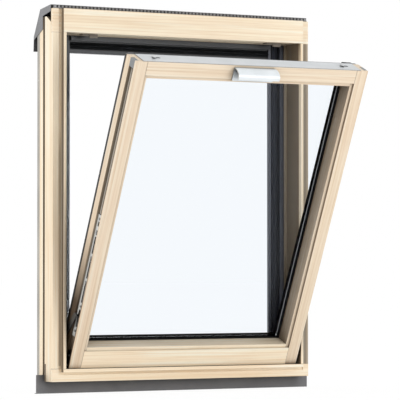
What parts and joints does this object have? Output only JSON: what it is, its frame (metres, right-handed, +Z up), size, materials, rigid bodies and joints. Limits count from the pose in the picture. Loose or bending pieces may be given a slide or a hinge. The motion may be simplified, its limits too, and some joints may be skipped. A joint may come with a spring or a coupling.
{
  "type": "tilting vertical window",
  "caption": "Timber-framed vertical window whose glazed sash tilts into the room on bottom hinges, with slotted stays, a top lock, a pull handle, a metal hood and a sill flashing.",
  "frame": {"origin": "centre of the sill's underside, at half the timber's depth", "axes": "+Z up, +Y towards the outdoor side, +X to the right as seen from the room"},
  "size_m": [0.828, 0.4743, 0.9955],
  "materials": {
    "lacquered_pine": "clear lacquer, satin",
    "dark_profile": "dark grey, satin",
    "black_rubber": "matt black",
    "grey_sheet": "grey coil coating, satin",
    "black_comb": "matt black",
    "zinc_steel": "zinc plated",
    "clear_glass": "clear float glass",
    "spacer_aluminium": "mill finish",
    "grey_plastic": "fine matt",
    "handle_aluminium": "satin anodised"
  },
  "bodies": {
    "frame": {"left_jamb": "lacquered_pine", "right_jamb": "lacquered_pine", "head_rail": "lacquered_pine", "sill_rail": "lacquered_pine", "left_stop": "dark_profile", "right_stop": "dark_profile", "head_stop": "dark_profile", "sill_stop": "dark_profile", "left_seal": "black_rubber", "right_seal": "black_rubber", "head_seal": "black_rubber", "sill_seal": "black_rubber", "left_cladding": "grey_sheet", "right_cladding": "grey_sheet", "sill_cladding": "grey_sheet", "head_hood": "grey_sheet", "insect_comb": "black_comb", "sill_flashing": "grey_sheet", "left_hinge_bracket": "zinc_steel", "right_hinge_bracket": "zinc_steel", "left_stay_bracket": "zinc_steel", "right_stay_bracket": "zinc_steel", "lock_keeps": "zinc_steel"},
    "sash": {"sash_left_stile": "lacquered_pine", "sash_right_stile": "lacquered_pine", "sash_top_rail": "lacquered_pine", "sash_bottom_rail": "lacquered_pine", "inner_pane": "clear_glass", "outer_pane": "clear_glass", "glass_spacer": "spacer_aluminium", "glass_edge_seal": "black_rubber", "left_gasket": "black_rubber", "right_gasket": "black_rubber", "top_gasket": "black_rubber", "bottom_gasket": "black_rubber", "sash_left_cover": "dark_profile", "sash_right_cover": "dark_profile", "sash_top_cover": "dark_profile", "sash_bottom_cover": "dark_profile", "sash_left_hinge": "zinc_steel", "sash_right_hinge": "zinc_steel", "left_stay_rail": "zinc_steel", "right_stay_rail": "zinc_steel", "left_corner_cap": "grey_plastic", "right_corner_cap": "grey_plastic", "lock_strip": "spacer_aluminium", "handle_base": "handle_aluminium", "handle_pin": "zinc_steel"},
    "left_stay": {"left_stay_arm": "zinc_steel"},
    "right_stay": {"right_stay_arm": "zinc_steel"},
    "lock": {"lock_bar": "zinc_steel"},
    "handle": {"handle": "handle_aluminium"}
  },
  "joints": [
    {"name": "sash_tilt", "type": "hinge", "parent": "frame", "child": "sash", "pos_m": [0, -0.0195, 0.0378], "axis": [1, 0, 0], "range_deg": [-24.18, 0]},
    {"name": "left_stay_turn", "type": "hinge", "parent": "frame", "child": "left_stay", "pos_m": [-0.3575, -0.0235, 0.1171], "axis": [1, 0, 0], "range_deg": [-48.36, 0]},
    {"name": "right_stay_turn", "type": "hinge", "parent": "frame", "child": "right_stay", "pos_m": [0.3575, -0.0235, 0.1171], "axis": [1, 0, 0], "range_deg": [-48.36, 0]},
    {"name": "handle_turn", "type": "hinge", "parent": "sash", "child": "handle", "pos_m": [0, -0.38721, 0.78351], "axis": [1, 0, 0], "range_deg": [0, 30]},
    {"name": "lock_slide", "type": "slide", "parent": "sash", "child": "lock", "axis": [1, 0, 0], "range_m": [0, 0.015]}
  ],
  "couplings": [
    {"joint": "left_stay_turn", "follows": "sash_tilt", "ratio": 2},
    {"joint": "right_stay_turn", "follows": "sash_tilt", "ratio": 2},
    {"joint": "handle_turn", "follows": "lock_slide", "rad_per_m": 34.9}
  ]
}
